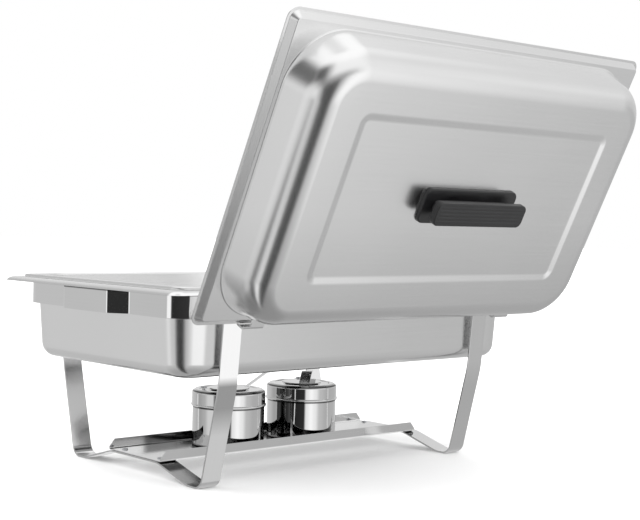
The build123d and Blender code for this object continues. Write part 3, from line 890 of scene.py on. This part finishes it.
def patch(g, ray, centre, width, steep, level=1.0):
    """Spot at one bearing: whole and gone at the widths in degrees, growing with steepness."""
    return g.mul(g.fall(away(g, ray.azimuth, centre), *width),
                 g.remap(ray.down, to=(0.0, level), source=steep))


def near_limit(g, ray, steep, level):
    """Upper limit on brightness, easing from PEAK to level as rays come down more steeply."""
    return g.blend(g.rise(ray.down, *steep), PEAK, level)


def lid_tone(g, ray):
    side = around(g, ray.azimuth, LID_SIDE)
    near = near_limit(g, ray, steep=(0.53, 0.70),
                      level=g.blend(g.rise(ray.down, 0.66, 0.84), 0.60, 0.38))
    tone = g.mul(g.least(side, near), g.remap(ray.height, to=(0.86, 1.0), source=(0.20, 0.30)))
    rim_dark = patch(g, ray, centre=-172.0, width=(6.0, 13.0), steep=(0.36, 0.42))
    tone = g.mul(tone, g.rest(g.mul(rim_dark, 0.80)))
    left_dim = patch(g, ray, centre=175.0, width=(25.0, 45.0), steep=(0.16, 0.36), level=0.20)
    back_dim = patch(g, ray, centre=118.0, width=(22.0, 42.0), steep=(0.26, 0.46), level=0.26)
    tone = g.mul(tone, g.rest(g.add(left_dim, back_dim)))
    lip_light = patch(g, ray, centre=-150.0, width=(7.0, 13.0), steep=(0.56, 0.62))
    tone = g.most(tone, g.mul(lip_light, 1.15))
    lightest_second = 0.72              # least level in a second mirror
    return g.blend(ray.again, tone, g.most(tone, lightest_second))


def pan_tone(g, ray):
    """The water pan's wall, and the band above it."""
    for_band = g.rise(ray.height, 0.186, 0.188)
    side = g.blend(for_band, around(g, ray.azimuth, PAN_SIDE), around(g, ray.azimuth, BAND_SIDE))
    near = near_limit(g, ray, steep=(0.24, 0.42),
                      level=g.blend(g.rise(ray.down, 0.5, 0.85), 0.60, 0.42))
    return g.least(side, near)


def low_tone(g, ray):
    """Everything lower than the pans; the shelf is close over the white floor."""
    shelf_half, shelf_level, second_mirror = 0.060, 0.98, 0.22
    shelf = g.mul(g.fall(ray.height, 0.035, 0.060),
                  g.below(g.math("ABSOLUTE", ray.y), shelf_half))
    tone = g.least(around(g, ray.azimuth, LOW_SIDE),
                   near_limit(g, ray, steep=(0.2, 0.4), level=0.60))
    tone = g.blend(g.mul(shelf, g.rise(ray.down, 0.25, 0.5)), tone, shelf_level)
    return g.mul(tone, g.blend(ray.again, 1.0, second_mirror))


def leg_mask(g, ray):
    """The left leg strip's -Y side, for rays within 22 degrees of bearing -48."""
    y_max, x_min, x_max = -0.13, -0.212, -0.178
    inside = g.mul(g.below(ray.y, y_max), g.mul(g.below(ray.x, x_max), g.above(ray.x, x_min)))
    return g.mul(inside, g.below(away(g, ray.azimuth, -48.0), 22.0))


def leg_tone(g, ray):
    """Three levels up the leg: foot, middle and upper part."""
    foot, middle, upper = 0.74, 0.40, 1.22
    tone = g.blend(g.rise(ray.height, 0.060, 0.090), foot, middle)
    return g.blend(g.rise(ray.height, 0.114, 0.124), tone, upper)


def floor_material():
    """Diffuse paper to the camera; to mirror rays it glows with a painted reflection of the studio,
    painted shadow included. Lengths here are in m.
    """
    mat, g = new_material("floor_paper_and_painted_reflections")
    path = g.node("LightPath").outputs
    geometry = g.node("NewGeometry").outputs
    length = path["Ray Length"]
    in_x, in_y, down = g.xyz(geometry["Incoming"])
    hit_x, hit_y, _ = g.xyz(geometry["Position"])
    ray = SimpleNamespace(
        azimuth=bearing(g, g.mul(in_x, -1.0), g.mul(in_y, -1.0)),
        down=down,                                  # sine of the angle it comes down at
        height=g.mul(down, length),                 # of the metal it left
        x=g.add(hit_x, g.mul(in_x, length)),        # place it left
        y=g.add(hit_y, g.mul(in_y, length)),
        again=g.above(path["Glossy Depth"], 1.5))   # seen in a second mirror
    for_pan = g.rise(ray.height, 0.09, 0.12)
    lid_y_max = -0.180
    for_lid = g.most(g.rise(ray.height, 0.213, 0.222), g.below(ray.y, lid_y_max))
    tone = g.blend(for_pan, low_tone(g, ray), pan_tone(g, ray))
    tone = g.blend(leg_mask(g, ray), tone, leg_tone(g, ray))
    tone = g.blend(for_lid, tone, lid_tone(g, ray))
    paper = g.remap(g.noise((3.0, 3.0, 3.0), detail=2.0, rough=0.5), to=(0.90, 0.92))
    # painted reflection: mirror rays see the drawn tone as emitted light, the camera sees paper
    g.finish("MixShader", {
        0: path["Is Glossy Ray"],
        1: g.node("BsdfDiffuse", {"Color": g.grey(paper)}).outputs[0],
        2: g.node("Emission", {"Strength": tone}).outputs[0]})
    mat.cycles.emission_sampling = "NONE"
    return mat


def floor():
    half = 14.0                         # m
    mesh = bpy.data.meshes.new("floor")
    mesh.from_pydata([(-half, -half, 0), (half, -half, 0), (half, half, 0), (-half, half, 0)],
                     [], [(0, 1, 2, 3)])
    ob = bpy.data.objects.new("floor", mesh)
    scene.collection.objects.link(ob)
    mesh.materials.append(floor_material())


def studio_world():
    """White to the camera, even light to diffuse rays, a drawn studio to mirror rays."""
    diffuse_level, camera_level, lightest_second = 1.9, 1.0, 1.05
    overhead, zenith = 1.25, 0.92
    world = bpy.data.worlds.new("studio")
    scene.world = world
    g = Graph(world, "OutputWorld")
    x, y, z = g.xyz(g.node("TexCoord").outputs["Generated"])
    path = g.node("LightPath").outputs
    azimuth = bearing(g, x, y)
    level = g.blend(g.rise(z, 0.10, 0.30), around(g, azimuth, HORIZON),
                    around(g, azimuth, UPPER))
    level = g.blend(g.rise(z, 0.64, 0.80), level,
                    g.blend(g.rise(z, 0.965, 0.995), overhead, zenith))
    again = g.above(path["Glossy Depth"], 1.5)
    level = g.blend(again, level, g.most(level, lightest_second))
    strength = g.mix(path["Is Glossy Ray"], diffuse_level, level, data_type="FLOAT")
    strength = g.mix(path["Is Camera Ray"], strength, camera_level, data_type="FLOAT")
    g.finish("Background", {"Strength": strength, "Color": (1, 1, 1, 1)})
    world.cycles.sampling_method = "NONE"


floor()
studio_world()


# ------------------------------------------------------------------ lights and camera, in m
def area_light(name, location, target, size, power):
    """Square light, left out of mirror reflections."""
    light = bpy.data.lights.new(name, "AREA")
    light.energy = power
    light.size = size
    ob = bpy.data.objects.new(name, light)
    ob.location = location
    aim = Vector(target) - Vector(location)
    ob.rotation_euler = aim.to_track_quat("-Z", "Y").to_euler()
    scene.collection.objects.link(ob)
    ob.visible_glossy = False


def add_camera(location, yaw, pitch, roll, lens):
    """Camera turned yaw degrees from +Y towards +X, pitched down, then rolled."""
    yaw, pitch, roll = map(math.radians, (yaw, pitch, roll))
    forward = Vector((math.sin(yaw) * math.cos(pitch), math.cos(yaw) * math.cos(pitch),
                      -math.sin(pitch)))
    level_right = Vector((math.cos(yaw), -math.sin(yaw), 0))
    level_up = level_right.cross(forward)
    right = math.cos(roll) * level_right + math.sin(roll) * level_up
    up = -math.sin(roll) * level_right + math.cos(roll) * level_up
    data = bpy.data.cameras.new("camera")
    data.sensor_fit = "HORIZONTAL"
    data.sensor_width = 36.0
    data.lens = lens
    data.clip_end = 60
    camera = bpy.data.objects.new("camera", data)
    matrix = Matrix((right, up, -forward)).transposed().to_4x4()
    matrix.translation = Vector(location)
    camera.matrix_world = matrix
    scene.collection.objects.link(camera)
    scene.camera = camera


area_light("key", location=(-0.6, 0.9, 2.4), target=(0, 0, 0.1), size=1.6, power=9.0)
area_light("fill", location=(-1.6, -1.6, 1.2), target=(0, 0, 0.2), size=1.2, power=3.0)
add_camera(location=(-1.0564, -1.2682, 0.2911), yaw=41.659, pitch=1.659, roll=1.286,
           lens=74.705625)

scene.view_settings.view_transform = "Standard"
scene.view_settings.look = "None"
scene.cycles.use_denoising = True
scene.cycles.max_bounces = 8
scene.cycles.glossy_bounces = 6
